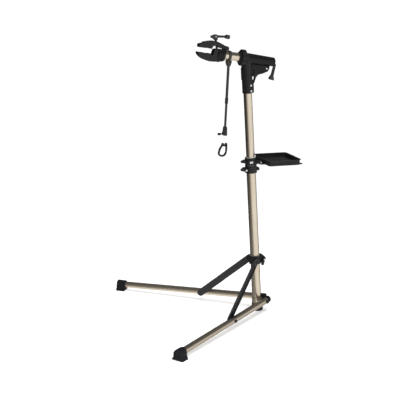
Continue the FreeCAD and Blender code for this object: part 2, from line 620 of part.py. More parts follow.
# ---- clamp on the end of the arm ----
def clamp_body():
    """Fixed lower jaw: a ribbed block with a spigot in the arm tube, a crescent jaw and a hinge lug."""
    floor = MOUTH_FLOOR - PAD_THICK
    px, pz = JAW_PIVOT.x, JAW_PIVOT.z
    front, back = MOUTH_FRONT, MOUTH_BACK + 8
    jaw = plate([(front - 2, MOUTH_FLOOR), (front, MOUTH_FLOOR), (front, floor), (back, floor),
                 (back + 1, MOUTH_FLOOR), (back + 5, MOUTH_ROOF - 1), (back + 13, MOUTH_ROOF + 2.5),
                 (px - 16, pz - 5.5),
                 (px - 2, MOUTH_ROOF - 6), (px - 2, -22), (px - 15, -28), (px - 37, -31), (px - 52, -33),
                 (px - 72, -34), (px - 87, -31), (front + 24, -27), (front + 12, -21), (front + 3, -14),
                 (front - 2, -6)],
                -JAW_HALF, JAW_HALF)
    body = jaw.fuse(cylinder(ARM_R + 5, V(ARM_END - 34, 0, 0), V(ARM_END, 0, 0)))
    for k in range(RIB_COUNT):
        x = ARM_END - 30 + RIB_STEP * k
        body = body.fuse(cylinder(ARM_R + 7.5, V(x, 0, 0), V(x + RIB_WIDTH, 0, 0)))
    body = body.fuse(link((px, pz), (px - 10, pz - 18), 9.0, -LUG_MID, LUG_MID))
    body = body.cut(both_sides(cylinder(SWING_R, V(px, LUG_MID, pz), V(px, 40, pz))))
    body = body.cut(cylinder(ARM_R + CLEAR, V(ARM_END, 0, 0), V(ARM_END + 40, 0, 0)))
    body = body.fuse(cylinder(ARM_R - ARM_WALL, V(ARM_END - 5, 0, 0), V(ARM_END + SPIGOT, 0, 0)))
    channel = block(-165, -115.5, -CHANNEL_HALF, CHANNEL_HALF, -60, 60)
    pin = cylinder(JAW_PIN_R, V(px, -40, pz), V(px, 40, pz))
    groove = cylinder(TUBE_R, V(TUBE_X, -40, TUBE_Z), V(TUBE_X, 40, TUBE_Z))
    return placed(body.cut(channel).cut(pin).cut(groove), ARM)


def jaw_pad(low, top):
    pad = block(MOUTH_FRONT, MOUTH_BACK, -JAW_HALF, JAW_HALF, low, top)
    return pad.cut(cylinder(TUBE_R, V(TUBE_X, -40, TUBE_Z), V(TUBE_X, 40, TUBE_Z)))


def lower_jaw_pad():
    return placed(jaw_pad(MOUTH_FLOOR - PAD_THICK, MOUTH_FLOOR), ARM)


def upper_jaw_pad():
    return placed(jaw_pad(MOUTH_ROOF, MOUTH_ROOF + PAD_THICK), ARM)


def screw_point(share):
    return SCREW_LOW + (SCREW_TOP - SCREW_LOW) * share


def upper_jaw():
    """Hinged upper jaw: ears round the lug, a solid nose, and a clearance hole for the screw."""
    px, pz = JAW_PIVOT.x, JAW_PIVOT.z
    roof = MOUTH_ROOF + PAD_THICK
    front, back = MOUTH_FRONT, MOUTH_BACK
    nose = plate([(front, roof), (front, 34), (front + 17, 39), (front + 20, 44), (front + 41, 50.5),
                  (front + 61, 54.5), (front + 79, 54), (px - 27, pz + 18), (px - 8, pz + 11), (px, pz),
                  (px - 7, pz - 7), (px - 14, pz - 3.5), (px - 35, pz - 1.5), (px - 40, pz + 4),
                  (back + 5, 34), (back + 1, roof)],
                 -JAW_HALF, JAW_HALF)
    nose = nose.fuse(cylinder(EYE_R, V(px, -JAW_HALF, pz), V(px, JAW_HALF, pz)))
    nose = nose.cut(block(px - 16, 0, -LUG_MID - CLEAR, LUG_MID + CLEAR, 0, 60))
    pin = cylinder(JAW_PIN_R + RUNNING, V(px, -40, pz), V(px, 40, pz))
    screw = cylinder(SCREW_R + RUNNING, screw_point(0.2), screw_point(1.2))
    groove = cylinder(TUBE_R, V(TUBE_X, -40, TUBE_Z), V(TUBE_X, 40, TUBE_Z))
    return placed(nose.cut(pin).cut(screw).cut(groove), ARM)


def jaw_pivot_bolt():
    px, pz = JAW_PIVOT.x, JAW_PIVOT.z
    side = JAW_HALF + CLEAR
    shank = cylinder(JAW_PIN_R, V(px, -side, pz), V(px, side, pz))
    head = cylinder(7.0, V(px, -side - 5, pz), V(px, -side, pz))
    nut = hexagon(12.0, V(px, side, pz), V(px, side + 6, pz))
    return placed(shank.fuse(rim(head, 2.0, lambda c: c.y < -side - 4.9)).fuse(nut), ARM)


def jaw_nut():
    """The barrel nut low on the clamp screw, free in the lower jaw's channel."""
    at = screw_point(0.05)
    body = cylinder(NUT_R, at - Y * (CHANNEL_HALF - 1.5), at + Y * (CHANNEL_HALF - 1.5))
    return placed(body.cut(cylinder(SCREW_R + RUNNING, screw_point(-0.5), screw_point(0.5))), ARM)


def clamp_screw():
    along = V(SCREW_TOP - SCREW_LOW).normalize()
    seat = screw_point(1.0)
    body = cylinder(SCREW_R, SCREW_LOW - along * 8, seat + along * 2)
    collar = cylinder(8.5, seat, seat + along * 5)
    fork = soften(block(-12, 8, -7.5, 7.5, 4, LEVER_RISE + 9), 5.0, Y)
    nose = link((-10, LEVER_RISE + 1), (-15, LEVER_RISE + 1), 6.0, -7.5, 7.5)
    slot = block(-30, 20, -3.5 - RUNNING, 3.5 + RUNNING, LEVER_RISE - LEVER_HUB_R - CLEAR, 60)
    fork = fork.fuse(nose).cut(slot)
    up = FreeCAD.Placement(seat, FreeCAD.Rotation(Z, along))
    fork = placed(fork, up)
    pin = cylinder(2.5, lever_pivot() - Y * 20, lever_pivot() + Y * 20)
    return placed(body.fuse(collar).fuse(fork).removeSplitter().cut(pin), ARM)


def lever_pivot():
    along = V(SCREW_TOP - SCREW_LOW).normalize()
    return screw_point(1.0) + along * LEVER_RISE


def lever_pin():
    return placed(cylinder(2.5, lever_pivot() - Y * 8.5, lever_pivot() + Y * 8.5), ARM)


def clamp_lever():
    """Ring-eyed lever on the clamp screw, with a flared cross end."""
    at = lever_pivot()
    x, z = at.x, at.z
    tip_x, tip_z = x + LEVER_LENGTH, z + 6
    eye = cylinder(LEVER_HUB_R, V(x, -3.5, z), V(x, 3.5, z))
    arm = link((x + 16, z + 2.5), (tip_x - 4, tip_z), 4.5, -6, 6)
    arm = arm.fuse(link((x, z + 1), (x + 22, z + 3), 5.0, -3.5, 3.5))
    end = soften(block(tip_x - 10, tip_x + 8, -9, 9, tip_z - 9, tip_z + 9), 6.0, Y)
    body = eye.fuse(arm).fuse(end).removeSplitter()
    return placed(body.cut(cylinder(2.5 + RUNNING, V(x, -9, z), V(x, 9, z))), ARM)


# ---- handlebar rod, hanging nearly plumb from the arm ----
RING_AT = ARM.multVec(V(RING_X, 0, 0))
ROD = FreeCAD.Placement(RING_AT, FreeCAD.Rotation(Y, ROD_LEAN))


def hanger():
    """A ring round the arm tube with a tapering block below that holds the rod."""
    inner = ARM_R + CLEAR
    half = RING_WIDTH / 2
    band = sleeve(inner + RING_WALL, inner, V(RING_X - half, 0, 0), V(RING_X + half, 0, 0))
    neck = plate([(-12, -inner - 1), (11, -inner - 1), (12, -26), (7, -44), (-7, -44), (-12, -28)], -8, 8)
    neck = soften(neck, 2.0, Y)
    body = placed(band, ARM).fuse(placed(neck, ROD)).removeSplitter()
    body = body.cut(placed(cylinder(inner, V(RING_X - 40, 0, 0), V(RING_X + 40, 0, 0)), ARM))
    return body.cut(placed(cylinder(ROD_R, V(0, 0, -ROD_START - 20), V(0, 0, -ROD_START + 10)), ROD))


def outer_rod():
    return placed(sleeve(ROD_R, INNER_ROD_R + RUNNING, V(0, 0, -ROD_STEP), V(0, 0, -ROD_START + 10)), ROD)


def rod_lock():
    """The twist collar at the bottom of the outer rod."""
    body = sleeve(ROD_R + 1.2, ROD_R, V(0, 0, -ROD_STEP), V(0, 0, -ROD_STEP + 22))
    lip = sleeve(ROD_R + 1.2, INNER_ROD_R + RUNNING, V(0, 0, -ROD_STEP - 3), V(0, 0, -ROD_STEP))
    return placed(body.fuse(lip).removeSplitter(), ROD)


def inner_rod():
    return placed(cylinder(INNER_ROD_R, V(0, 0, -ROD_END_TOP), V(0, 0, -ROD_STEP + ROD_TRAVEL + 20)), ROD)


def rod_end():
    """The end fitting: a tapering foot with a neck and a small barrel that the strap hooks over."""
    low, top = -ROD_END_LOW, -ROD_END_TOP
    body = plate([(-7, top + 6), (7, top + 6), (9, low + 3), (7, low), (-6, low), (-13, low + 4),
                  (-13, low + 9), (-9, low + 18)], -7, 7)
    body = soften(body, 1.5, Y)
    neck = cylinder(2.0, V(-20, 0, low + 7), V(-12, 0, low + 7))
    barrel = rim(cylinder(5.5, V(-33, 0, low + 7), V(-19, 0, low + 7)), 2.0, lambda c: abs(c.x + 26) > 6.9)
    body = body.fuse(neck).fuse(barrel).removeSplitter()
    return placed(body.cut(cylinder(INNER_ROD_R, V(0, 0, top), V(0, 0, top + 30))), ROD)


def strap_link():
    """A thin clear tab between the rod's end and the strap."""
    return placed(block(-5, 5, -1.5, 1.5, -STRAP_TOP - 9, -ROD_END_LOW), ROD)


def strap():
    """A stiff rubber loop with two prongs at its top and a notched edge."""
    top = -STRAP_TOP
    half = STRAP_THICK / 2
    outer = [(-11, 0), (-3, 0), (-1, -8), (3, -8), (4, 0), (13, 0), (15, -14), (15, -30), (13, -46), (7, -57),
             (-3, -62), (-15, -62), (-26, -54), (-28, -46), (-25, -30), (-18, -16), (-13, -8)]
    inner = [(-8, -15), (4, -15), (7, -22), (7, -40), (3, -50), (-4, -54), (-13, -54), (-19, -49), (-20, -44),
             (-17, -31), (-11, -20)]
    body = plate([(x, z + top) for x, z in outer], -half, half)
    body = soften(body, 1.5, Y).cut(soften(plate([(x, z + top) for x, z in inner], -20, 20), 1.5, Y))
    for depth in (20, 27, 34, 41):
        body = body.cut(cylinder(1.5, V(15.5, -20, top - depth), V(15.5, 20, top - depth)))
    return placed(body, ROD).cut(strap_link())


# ---- tool tray on the upper mast ----
def tray_liner():
    body = ring(TRAY_LINER_OUT, UPPER_R + RUNNING, TRAY_COLLAR_LOW, TRAY_COLLAR_TOP)
    for low in (TRAY_COLLAR_LOW - 1.5, TRAY_COLLAR_TOP):
        body = body.fuse(ring(TRAY_LINER_OUT + 2, UPPER_R + RUNNING, low, low + 1.5))
    return placed(body.removeSplitter(), MAST)


def tray_collar():
    gap = 0.3
    low, top = TRAY_COLLAR_LOW + gap, TRAY_COLLAR_TOP - gap
    body = cylinder(TRAY_COLLAR_R, V(0, 0, low), V(0, 0, top))
    boss = cylinder(8.0, V(-TRAY_COLLAR_R - 4, 0, KNOB_HEIGHT), V(0, 0, KNOB_HEIGHT))
    shelf = block(0, TRAY_COLLAR_R + SHELF, -14, 14, low, low + 12)
    body = body.fuse(boss).fuse(soften(shelf, 4.0, Z)).removeSplitter()
    body = body.cut(cylinder(TRAY_COLLAR_IN, V(0, 0, low - 1), V(0, 0, top + 1)))
    hole = cylinder(KNOB_SCREW_R + RUNNING, V(-60, 0, KNOB_HEIGHT), V(0, 0, KNOB_HEIGHT))
    return placed(body.cut(hole), MAST)


def tray_knob():
    """A thumb screw that pinches the collar, with a tapering grip."""
    x0 = -TRAY_COLLAR_R - 4 - CLEAR
    grip = Part.makeCone(9.5, 5.0, 17, V(x0, 0, KNOB_HEIGHT), V(-1, 0, 0))
    for k in range(6):
        angle = math.pi * k / 3
        at = V(0, 11 * math.cos(angle), KNOB_HEIGHT + 11 * math.sin(angle))
        grip = grip.cut(cylinder(3.2, V(x0 - 18, 0, 0) + at, V(x0 + 1, 0, 0) + at))
    screw = cylinder(KNOB_SCREW_R, V(x0, 0, KNOB_HEIGHT), V(-TRAY_COLLAR_IN - 1, 0, KNOB_HEIGHT))
    return placed(grip.fuse(screw).removeSplitter(), MAST)


def tray_bracket():
    """A bent strip: a tab on the end of the collar's shelf, and a level run under the tray's floor."""
    end = TRAY_COLLAR_R + SHELF
    tab = placed(block(end, end + BRACKET_SHEET, -13, 13, TRAY_Z - 6, TRAY_COLLAR_LOW + 12), MAST)
    start = MAST.multVec(V(end, 0, TRAY_Z)).x
    run = soften(block(start - 20, TRAY_X0 + 90, -13, 13, TRAY_Z - BRACKET_SHEET, TRAY_Z), 6.0, Z)
    inside = placed(block(-60, end, -60, 60, TRAY_Z - 100, TRAY_Z + 100), MAST)
    above = block(-200, TRAY_X0 - 1, -60, 60, TRAY_Z - 60, TRAY_Z - BRACKET_SHEET)
    return run.fuse(tab.cut(above)).removeSplitter().cut(inside)


def tray_screws():
    """Rivet heads under the bracket."""
    low = TRAY_Z - BRACKET_SHEET
    points = [V(x, y, low) for x in (TRAY_X0 + 30, TRAY_X0 + 72) for y in (-7, 7)]
    return Part.makeCompound([cylinder(RIVET_R, p - Z * 2, p) for p in points])


def tray_dish():
    """A pressed sheet tray with round corners, a folded-out lip and a hanging tab at one end."""
    def pan(grow, low, top):
        shape = block(TRAY_X0 - grow, TRAY_X1 + grow, TRAY_Y0 - grow, TRAY_Y1 + grow, low, top)
        return soften(shape, TRAY_CORNER + grow, Z)
    top = TRAY_Z + TRAY_DEEP
    tab = block(TRAY_X1 - 20, TRAY_X1 + 20, TRAY_Y0 + 12, TRAY_Y0 + 46, TRAY_Z, TRAY_Z + TRAY_SHEET)
    tab = soften(tab, 8.0, Z)
    body = pan(0, TRAY_Z, top).fuse(pan(TRAY_LIP, top - TRAY_SHEET, top)).fuse(tab)
    return body.removeSplitter().cut(pan(-TRAY_SHEET, TRAY_Z + TRAY_SHEET, top + 1))


def mirrored(maker):
    return lambda: other_side(maker())


NODES = {
    "lower_tube": lower_tube,
    "mast_foot_cap": mast_foot_cap,
    "base_bracket": base_bracket,
    "leg_pivot_bolts": leg_pivot_bolts,
    "mast_clamp": mast_clamp,
    "mast_clamp_bolt": mast_clamp_bolt,
    "guide_bush": guide_bush,
    "mast_clamp_lever": mast_clamp_lever,
    "leg_tube_left": leg_tube,
    "leg_bush_left": leg_bush,
    "leg_end_cap_left": leg_end_cap,
    "leg_foot_left": leg_foot,
    "strut_bolt_left": strut_leg_bolt,
    "strut_left": strut,
    "strut_pin_left": strut_pin,
    "leg_tube_right": mirrored(leg_tube),
    "leg_bush_right": mirrored(leg_bush),
    "leg_end_cap_right": mirrored(leg_end_cap),
    "leg_foot_right": mirrored(leg_foot),
    "strut_bolt_right": mirrored(strut_leg_bolt),
    "strut_right": mirrored(strut),
    "strut_pin_right": mirrored(strut_pin),
    "strut_collar": strut_collar,
    "collar_liner": collar_liner,
    "collar_bolt": collar_bolt,
    "collar_lever": collar_lever,
    "slide_bush": slide_bush,
    "upper_tube": upper_tube,
    "upper_tube_stops": upper_tube_stops,
    "head_casting": head_casting,
    "head_screws": head_screws,
    "barrel_bushes": barrel_bushes,
    "clutch_disc": clutch_disc,
    "arm_tube": arm_tube,
    "draw_shaft": draw_shaft,
    "rear_pin": rear_pin,
    "rear_lever": rear_lever,
    "clamp_body": clamp_body,
    "lower_jaw_pad": lower_jaw_pad,
    "jaw_pivot_bolt": jaw_pivot_bolt,
    "upper_jaw": upper_jaw,
    "upper_jaw_pad": upper_jaw_pad,
    "jaw_nut": jaw_nut,
    "clamp_screw": clamp_screw,
    "lever_pin": lever_pin,
    "clamp_lever": clamp_lever,
    "hanger": hanger,
    "outer_rod": outer_rod,
    "rod_lock": rod_lock,
    "inner_rod": inner_rod,
    "rod_end": rod_end,
    "strap_link": strap_link,
    "strap": strap,
    "tray_liner": tray_liner,
    "tray_collar": tray_collar,
    "tray_knob": tray_knob,
    "tray_bracket": tray_bracket,
    "tray_screws": tray_screws,
    "tray_dish": tray_dish,
}

os.makedirs("parts", exist_ok=True)
for name, make in NODES.items():
    shape = make()
    if not shape.isValid() or shape.Volume <= 0:
        print("not a good solid:", name)
    shape.exportStep(os.path.join("parts", name + ".step"))
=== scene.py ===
import json
import math

import bmesh
import bpy
from mathutils import Matrix, Vector


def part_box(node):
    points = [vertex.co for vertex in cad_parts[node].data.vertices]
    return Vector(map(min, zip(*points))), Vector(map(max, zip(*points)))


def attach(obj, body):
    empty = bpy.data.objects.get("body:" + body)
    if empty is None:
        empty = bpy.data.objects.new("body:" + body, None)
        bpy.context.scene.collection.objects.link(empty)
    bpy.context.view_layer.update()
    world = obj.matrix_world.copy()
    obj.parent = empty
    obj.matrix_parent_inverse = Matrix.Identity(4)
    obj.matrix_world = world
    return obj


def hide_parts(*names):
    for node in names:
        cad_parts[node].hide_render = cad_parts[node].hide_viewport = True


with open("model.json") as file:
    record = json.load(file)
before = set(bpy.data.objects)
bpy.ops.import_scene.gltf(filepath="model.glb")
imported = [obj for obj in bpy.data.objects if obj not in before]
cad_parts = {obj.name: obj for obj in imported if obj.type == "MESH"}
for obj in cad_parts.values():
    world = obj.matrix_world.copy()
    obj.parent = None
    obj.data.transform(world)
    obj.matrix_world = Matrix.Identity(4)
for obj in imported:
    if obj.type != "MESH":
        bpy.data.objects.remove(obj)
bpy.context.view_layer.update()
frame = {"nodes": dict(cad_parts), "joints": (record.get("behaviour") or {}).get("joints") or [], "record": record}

# The camera stands well back from one side of the stand, a little above its head, with a long lens.
# It turns by azimuth round the stand, looks down by elevation and is a touch off level.
camera_data = bpy.data.cameras.new("camera")
camera_data.lens = 87.0
camera_data.sensor_width = 36.0
camera = bpy.data.objects.new("camera", camera_data)
bpy.context.scene.collection.objects.link(camera)
bpy.context.scene.camera = camera
azimuth, elevation, roll = (math.radians(a) for a in (-20.23, 14.18, 1.31))
aim = Vector((-0.2624, 0.0967, 0.5217))
distance = 4.4104
reach = math.cos(elevation)
back = Vector((math.sin(azimuth) * reach, -math.cos(azimuth) * reach, math.sin(elevation)))
camera.matrix_world = (Matrix.Translation(aim + distance * back)
                       @ back.to_track_quat("Z", "Y").to_matrix().to_4x4() @ Matrix.Rotation(roll, 4, "Z"))


# The studio floor: a white painted board under the stand, matt, with faint roller texture.
# The two classes below also make every finish on the stand.
class Value:
    """A shader socket that takes part in sums: each operator adds the Math node that it stands for."""

    def __init__(self, finish, socket):
        self.finish, self.socket = finish, socket

    def math(self, operation, other):
        return self.finish.node("ShaderNodeMath", {"operation": operation}, {0: self, 1: other})

    def __add__(self, other):
        return self.math("ADD", other)

    def __mul__(self, other):
        return self.math("MULTIPLY", other)

    __radd__ = __add__
    __rmul__ = __mul__


class Finish:
    """One material, or the studio's air: its node tree, and how nodes are added to it."""

    def __init__(self, owner):
        self.owner = owner
        owner.use_nodes = True
        self.tree = owner.node_tree

    def feed(self, place, value):
        if isinstance(value, Value):
            self.tree.links.new(value.socket, place)
        elif isinstance(value, tuple) and place.type == "RGBA":
            place.default_value = (*value, 1.0)
        else:
            place.default_value = value

    def node(self, kind, settings, sockets, out=0):
        """Adds a node: its type, its settings, then the values or links of its sockets."""
        node = self.tree.nodes.new(kind)
        for key, value in settings.items():
            if key == "stops":
                elements = node.color_ramp.elements
                while len(elements) < len(value):
                    elements.new(1.0)
                for element, (place, colour) in zip(elements, value):
                    element.position = place
                    element.color = (*colour, 1.0)
            else:
                setattr(node, key, value)
        for key, value in sockets.items():
            self.feed(node.inputs[key], value)
        return Value(self, node.outputs[out])

    def shade(self, **sockets):
        """Sets or links the surface shader's own sockets."""
        shader = self.tree.nodes["Principled BSDF"]
        for key, value in sockets.items():
            self.feed(shader.inputs[key.replace("_", " ")], value)

    def noise(self, scale, detail=3.0, along=(0, 0, 1), stretch=1.0):
        """Noise in the stand's own frame, in cycles a metre, drawn out along a direction if asked."""
        turn = tuple(Vector(along).to_track_quat("Z", "Y").inverted().to_euler())
        place = self.node("ShaderNodeTexCoord", {}, {}, out="Object")
        drawn = {"Vector": place, "Rotation": turn, "Scale": (1, 1, stretch)}
        place = self.node("ShaderNodeMapping", {}, drawn)
        return self.node("ShaderNodeTexNoise", {}, {"Vector": place, "Scale": scale, "Detail": detail})

    def ramp(self, factor, *stops):
        return self.node("ShaderNodeValToRGB", {"stops": stops}, {"Fac": factor})

    def mix(self, factor, one, two, blend="MIX"):
        """Two colours together. Numbers pick out the colour sockets, which share names with other sockets."""
        settings = {"data_type": "RGBA", "blend_type": blend}
        return self.node("ShaderNodeMix", settings, {0: factor, 6: one, 7: two}, out=2)

    def between(self, factor, low, high):
        """A number that goes from low to high while a noise goes over its usual span."""
        sockets = {"Value": factor, "From Min": 0.3, "From Max": 0.7, "To Min": low, "To Max": high}
        return self.node("ShaderNodeMapRange", {}, sockets)

    def relief(self, height, distance, strength, edge=0.0):
        """Bump, on edges that are eased by a radius where one is given."""
        sockets = {"Height": height, "Distance": distance, "Strength": strength}
        if edge:
            sockets["Normal"] = self.node("ShaderNodeBevel", {"samples": 6}, {"Radius": edge})
        self.shade(Normal=self.node("ShaderNodeBump", {}, sockets))


FLOOR_RADIUS, FLOOR_SIDES, FLOOR_MIDDLE = 2.6, 96, -0.2
white = Finish(bpy.data.materials.new("white_board"))
speckle = white.noise(180)
white.shade(Base_Color=white.ramp(white.noise(1.1), (0.3, (0.93, 0.93, 0.93)), (0.7, (0.96, 0.96, 0.96))),
            Roughness=white.between(speckle, 0.85, 0.95),
            Emission_Color=(1.0, 1.0, 1.0), Emission_Strength=0.5)
white.relief(speckle, 0.0002, 0.1)
mesh = bpy.data.meshes.new("floor")
rim = []
for k in range(FLOOR_SIDES):
    a = math.tau * k / FLOOR_SIDES
    rim.append((FLOOR_RADIUS * math.cos(a) + FLOOR_MIDDLE, FLOOR_RADIUS * math.sin(a), 0))
mesh.from_pydata(rim, [], [range(FLOOR_SIDES)])
floor = bpy.data.objects.new("floor", mesh)
bpy.context.scene.collection.objects.link(floor)
floor.data.materials.append(white.owner)
floor.visible_glossy = False

# The studio's light: white walls on the near side and a white underside, with a dark ceiling and dark drapes
# behind, and two large soft boxes that the metal doesn't mirror. Beyond the floor is a white backdrop.
air = Finish(bpy.data.worlds.new("studio"))
bpy.context.scene.world = air.owner
output = air.tree.nodes["World Output"]
backdrop = air.tree.nodes["Background"]
backdrop.inputs["Color"].default_value = (1.0, 1.0, 1.0, 1.0)
backdrop.inputs["Strength"].default_value = 1.05
toward = air.node("ShaderNodeTexCoord", {}, {}, out="Generated")
facing = air.node("ShaderNodeVectorMath", {"operation": "DOT_PRODUCT"}, {0: toward, 1: (0.42, -0.91, 0.0)},
                  out="Value")
rising = air.node("ShaderNodeSeparateXYZ", {}, {"Vector": toward}, out="Z")
walls = air.ramp(facing * 0.5 + 0.5, (0.0, (0.02, 0.018, 0.016)), (0.42, (0.06, 0.055, 0.05)),
                 (0.62, (0.42, 0.40, 0.38)), (0.78, (1.0, 0.99, 0.97)), (1.0, (1.2, 1.2, 1.2)))
underside = air.ramp(rising * 0.5 + 0.5, (0.10, (1.1, 1.08, 1.06)), (0.34, (0, 0, 0)))
above = air.ramp(rising, (0.15, (0, 0, 0)), (0.5, (1, 1, 1)))
around = air.mix(above, air.mix(1.0, walls, underside, "LIGHTEN"), (0.14, 0.14, 0.14))
studio = air.node("ShaderNodeBackground", {}, {"Color": around, "Strength": 1.0})
seen = air.node("ShaderNodeLightPath", {}, {}, out="Is Camera Ray")
mixed = air.node("ShaderNodeMixShader", {}, {0: seen, 1: studio, 2: Value(air, backdrop.outputs[0])})
air.feed(output.inputs["Surface"], mixed)
bpy.context.scene.view_settings.view_transform = "Standard"

lit = Vector((-0.2, 0, 0.5))
for name, spot, size, power in (("key_light", (-2.4, -3.2, 3.0), (1.2, 2.2), 60),
                                ("top_light", (0.4, -0.3, 4.2), (2.4, 2.4), 130)):
    light_data = bpy.data.lights.new(name, "AREA")
    light_data.shape = "RECTANGLE"
    light_data.size, light_data.size_y = size
    light_data.energy = power
    soft_box = bpy.data.objects.new(name, light_data)
    soft_box.visible_glossy = False
    soft_box.location = spot
    soft_box.rotation_euler = (Vector(spot) - lit).to_track_quat("Z", "Y").to_euler()
    bpy.context.scene.collection.objects.link(soft_box)


# The tubes: drawn aluminium, satin brushed along their length, then anodised champagne and sealed. The mast,
# each leg and the arm have their own grain, because it follows the tube. The base bracket matches the mast.
joints = {joint["name"]: joint for joint in frame["joints"]}
mounts = {mount["name"]: mount for mount in frame["record"]["mounts"]}
mast_up = Vector(joints["mast_height"]["axis"])
arm_along = Vector(joints["arm_turn"]["axis"])
feet = {side: Vector(mounts[side + "_foot"]["pos_m"]) for side in ("left", "right")}
hips = {"left": Vector(joints["leg_fold"]["pos_m"]), "right": Vector(joints["leg_fold_right"]["pos_m"])}
FOOT_AXIS = 0.027
leg_along = {side: (feet[side] + Vector((0, 0, FOOT_AXIS)) - hips[side]).normalized() for side in feet}


def dress(finish, *names):
    """Gives CAD nodes a finish."""
    for name in names:
        slots = frame["nodes"][name].data.materials
        slots.clear()
        slots.append(finish.owner)


def anodised(name, along):
    finish = Finish(bpy.data.materials.new(name))
    grain = finish.noise(1400, 2.0, along, 0.015)
    cloud = finish.noise(7, 2.0)
    marks = finish.noise(60, 6.0, along, 0.2)
    tint = cloud * 0.6 + grain * 0.25 + marks * 0.15
    finish.shade(Base_Color=finish.ramp(tint, (0.35, (0.60, 0.525, 0.42)), (0.65, (0.69, 0.61, 0.495))),
                 Metallic=1.0, Roughness=finish.between(grain, 0.20, 0.30))
    finish.relief(grain, 0.00003, 0.25, edge=0.0006)
    return finish


mast_gold = anodised("champagne_anodised_mast", mast_up)
dress(mast_gold, "lower_tube", "upper_tube", "base_bracket")
dress(anodised("champagne_anodised_arm", arm_along), "arm_tube")
for side in ("left", "right"):
    dress(anodised("champagne_anodised_leg_" + side, leg_along[side]), "leg_tube_" + side)


# The castings: head, clamps, collar and jaws in die-cast aluminium, powder coated black. The coat has a fine
# orange peel and is rubbed a little brighter along worn edges. Every other black finish is made the same way.
def black(name, colour, rough, grain_scale, depth, edge, worn):
    finish = Finish(bpy.data.materials.new(name))
    grain = finish.noise(grain_scale, 4.0)
    patches = finish.noise(35, 4.0)
    edges = finish.node("ShaderNodeNewGeometry", {}, {}, out="Pointiness")
    wear = finish.ramp(edges + patches * 0.06, (0.535, (0, 0, 0)), (0.60, (1, 1, 1)))
    coat = finish.ramp(grain * 0.7 + patches * 0.3, (0.3, tuple(c * 0.75 for c in colour)),
                       (0.7, tuple(c * 1.25 for c in colour)))
    rubbed = tuple(c * worn for c in colour)
    finish.shade(Base_Color=finish.mix(wear, coat, rubbed), Specular_IOR_Level=0.2,
                 Roughness=finish.between(patches * 0.6 + grain * 0.4, rough - 0.07, rough + 0.09))
    finish.relief(grain, depth, 0.5, edge)
    return finish


powder = black("black_powder_coat", (0.0065, 0.0065, 0.007), 0.38, 1500, 0.00006, 0.0016, 2.2)
dress(powder, "mast_clamp", "strut_collar", "head_casting", "clamp_body", "upper_jaw", "tray_collar")

# The bent and turned steel: flat struts, the head's levers, the rod's tubes, the clamp screw and pivot bolts.
# All are satin black over steel, which shows a little brighter where an edge has been rubbed.
satin = black("satin_black_steel", (0.0115, 0.0115, 0.0122), 0.36, 900, 0.00003, 0.001, 3.0)
dress(satin, "strut_left", "strut_right", "rear_lever", "clamp_lever", "outer_rod", "inner_rod",
      "clamp_screw", "draw_shaft", "jaw_nut", "leg_pivot_bolts", "strut_bolt_left", "strut_bolt_right",
      "strut_pin_left", "strut_pin_right", "jaw_pivot_bolt")

# The hanger's ring and block: one small casting that turns on the arm tube and carries the rod. Its coat is
# an olive grey, a shade lighter and browner than the other castings.
dress(black("olive_grey_casting", (0.022, 0.020, 0.016), 0.45, 1300, 0.00006, 0.0012, 1.8), "hanger")

# The moulded parts: clamp levers, clutch disc, the rod's fittings and the stop rings, in glass-filled nylon.
# Their moulds were spark eroded, so they come out matt with a fine even grain.
nylon = black("black_moulded_nylon", (0.0115, 0.0115, 0.0122), 0.46, 2600, 0.00004, 0.0014, 1.6)
dress(nylon, "mast_clamp_lever", "collar_lever", "clutch_disc", "rod_lock", "rod_end", "upper_tube_stops")


# The bright parts: bolts, screws and pins in zinc-plated steel, with a faint blue and yellow passivation, and
# natural acetal for the bushes that run inside.
def plated(name, low, high, metal, rough):
    finish = Finish(bpy.data.materials.new(name))
    grain = finish.noise(1100, 3.0)
    tint = finish.noise(90, 2.0)
    finish.shade(Base_Color=finish.ramp(tint, (0.35, low), (0.65, high)), Metallic=metal,
                 Roughness=finish.between(grain, rough - 0.06, rough + 0.08))
    finish.relief(grain, 0.00002, 0.4, 0.0008)
    return finish


zinc = plated("bright_zinc", (0.55, 0.57, 0.62), (0.66, 0.65, 0.62), 1.0, 0.30)
dress(zinc, "mast_clamp_bolt", "collar_bolt", "head_screws", "rear_pin", "lever_pin", "tray_screws")
dress(plated("galvanised_strip", (0.42, 0.42, 0.43), (0.52, 0.52, 0.52), 1.0, 0.42), "tray_bracket")
acetal = plated("natural_acetal", (0.52, 0.51, 0.47), (0.60, 0.59, 0.55), 0.0, 0.45)
dress(acetal, "guide_bush", "leg_bush_left", "leg_bush_right", "collar_liner", "slide_bush", "barrel_bushes",
      "tray_liner")

# The tab between rod and strap: clear soft vinyl, punched from sheet and pushed on both pieces. It is nearly
# invisible, with a slight haze.
vinyl = plated("clear_vinyl", (0.92, 0.93, 0.93), (0.97, 0.97, 0.97), 0.0, 0.2)
vinyl.shade(Alpha=vinyl.between(vinyl.noise(300), 0.08, 0.14))
dress(vinyl, "strap_link")

# The rubber boot on the mast's foot: moulded in one piece with a flared skirt and three grooves round it, and
# pushed on the tube's end. It is round about the mast and cut level with the floor.
rubber = black("black_rubber", (0.011, 0.012, 0.0145), 0.62, 1800, 0.00008, 0.0015, 1.5)


def frame_at(origin, x, z):
    """A frame from its origin, its x direction and roughly its z direction."""
    x = Vector(x).normalized()
    y = Vector(z).cross(x).normalized()
    turn = Matrix((x, y, x.cross(y))).transposed().to_4x4()
    return Matrix.Translation(origin) @ turn


